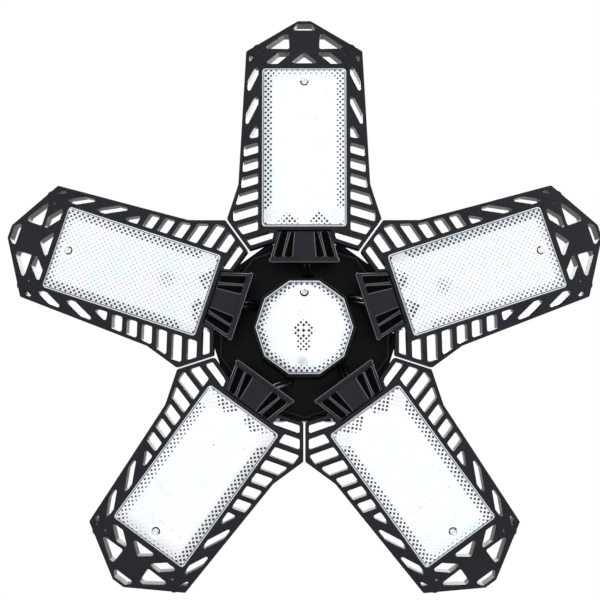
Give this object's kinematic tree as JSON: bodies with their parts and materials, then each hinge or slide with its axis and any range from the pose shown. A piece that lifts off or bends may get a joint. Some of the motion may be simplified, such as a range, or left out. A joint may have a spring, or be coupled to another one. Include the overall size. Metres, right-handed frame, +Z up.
{
  "type": "deformable garage light",
  "caption": "Screw-in ceiling light: lattice LED panels folding on hinges round a ribbed ten-sided hub, with a central ten-sided LED face.",
  "frame": {"origin": "on the hub's axis at the seat of the metal screw cap on the neck", "axes": "+Z up along the cap towards the lampholder; the lens faces look along -Z; panel 1 points along -Y and the others follow every 72 degrees"},
  "size_m": [0.2894, 0.2778, 0.1232],
  "materials": {
    "cap_metal": null,
    "insulator": null,
    "housing_plastic": "satin",
    "black_cast": "satin",
    "dark_steel": null,
    "bright_steel": null,
    "circuit_board": null,
    "winding": null,
    "capacitor_sleeve": null,
    "red_wire": null,
    "white_wire": null,
    "black_wire": null,
    "led_board": null,
    "lens": null
  },
  "bodies": {
    "hub": {"screw_shell": "cap_metal", "cap_insulator": "insulator", "eyelet_contact": "cap_metal", "neck_cover": "housing_plastic", "driver_housing": "housing_plastic", "hub_base": "housing_plastic", "hub_screws": "dark_steel", "driver_board": "circuit_board", "transformer": "winding", "input_capacitor": "capacitor_sleeve", "live_lead": "red_wire", "neutral_lead": "white_wire", "centre_lead": "black_wire", "centre_tray": "housing_plastic", "tray_screws": "bright_steel", "centre_led_board": "led_board", "centre_lens": "lens", "centre_lens_screw": "bright_steel", "hinge_bolts": "bright_steel", "hinge_nuts": "bright_steel", "friction_washers": "dark_steel"},
    "panel_1": {"panel_frame_1": "black_cast", "led_board_1": "led_board", "panel_lens_1": "lens", "lens_screw_1": "bright_steel", "hinge_bracket_1": "black_cast", "bracket_screws_1": "dark_steel", "panel_lead_1": "black_wire"},
    "panel_2": {"panel_frame_2": "black_cast", "led_board_2": "led_board", "panel_lens_2": "lens", "lens_screw_2": "bright_steel", "hinge_bracket_2": "black_cast", "bracket_screws_2": "dark_steel", "panel_lead_2": "black_wire"},
    "panel_3": {"panel_frame_3": "black_cast", "led_board_3": "led_board", "panel_lens_3": "lens", "lens_screw_3": "bright_steel", "hinge_bracket_3": "black_cast", "bracket_screws_3": "dark_steel", "panel_lead_3": "black_wire"},
    "panel_4": {"panel_frame_4": "black_cast", "led_board_4": "led_board", "panel_lens_4": "lens", "lens_screw_4": "bright_steel", "hinge_bracket_4": "black_cast", "bracket_screws_4": "dark_steel", "panel_lead_4": "black_wire"},
    "panel_5": {"panel_frame_5": "black_cast", "led_board_5": "led_board", "panel_lens_5": "lens", "lens_screw_5": "bright_steel", "hinge_bracket_5": "black_cast", "bracket_screws_5": "dark_steel", "panel_lead_5": "black_wire"}
  },
  "joints": [
    {"name": "panel_1_fold", "type": "hinge", "parent": "hub", "child": "panel_1", "pos_m": [0, -0.04421, -0.0743], "axis": [-1, 0, 0], "range_deg": [0, 90], "deforming": ["panel_lead_1"]},
    {"name": "panel_2_fold", "type": "hinge", "parent": "hub", "child": "panel_2", "pos_m": [0.04204, -0.01366, -0.0743], "axis": [-0.309, -0.9511, 0], "range_deg": [0, 90], "deforming": ["panel_lead_2"]},
    {"name": "panel_3_fold", "type": "hinge", "parent": "hub", "child": "panel_3", "pos_m": [0.02598, 0.03576, -0.0743], "axis": [0.809, -0.5878, 0], "range_deg": [0, 90], "deforming": ["panel_lead_3"]},
    {"name": "panel_4_fold", "type": "hinge", "parent": "hub", "child": "panel_4", "pos_m": [-0.02598, 0.03576, -0.0743], "axis": [0.809, 0.5878, 0], "range_deg": [0, 90], "deforming": ["panel_lead_4"]},
    {"name": "panel_5_fold", "type": "hinge", "parent": "hub", "child": "panel_5", "pos_m": [-0.04204, -0.01366, -0.0743], "axis": [-0.309, 0.9511, 0], "range_deg": [0, 90], "deforming": ["panel_lead_5"]}
  ]
}
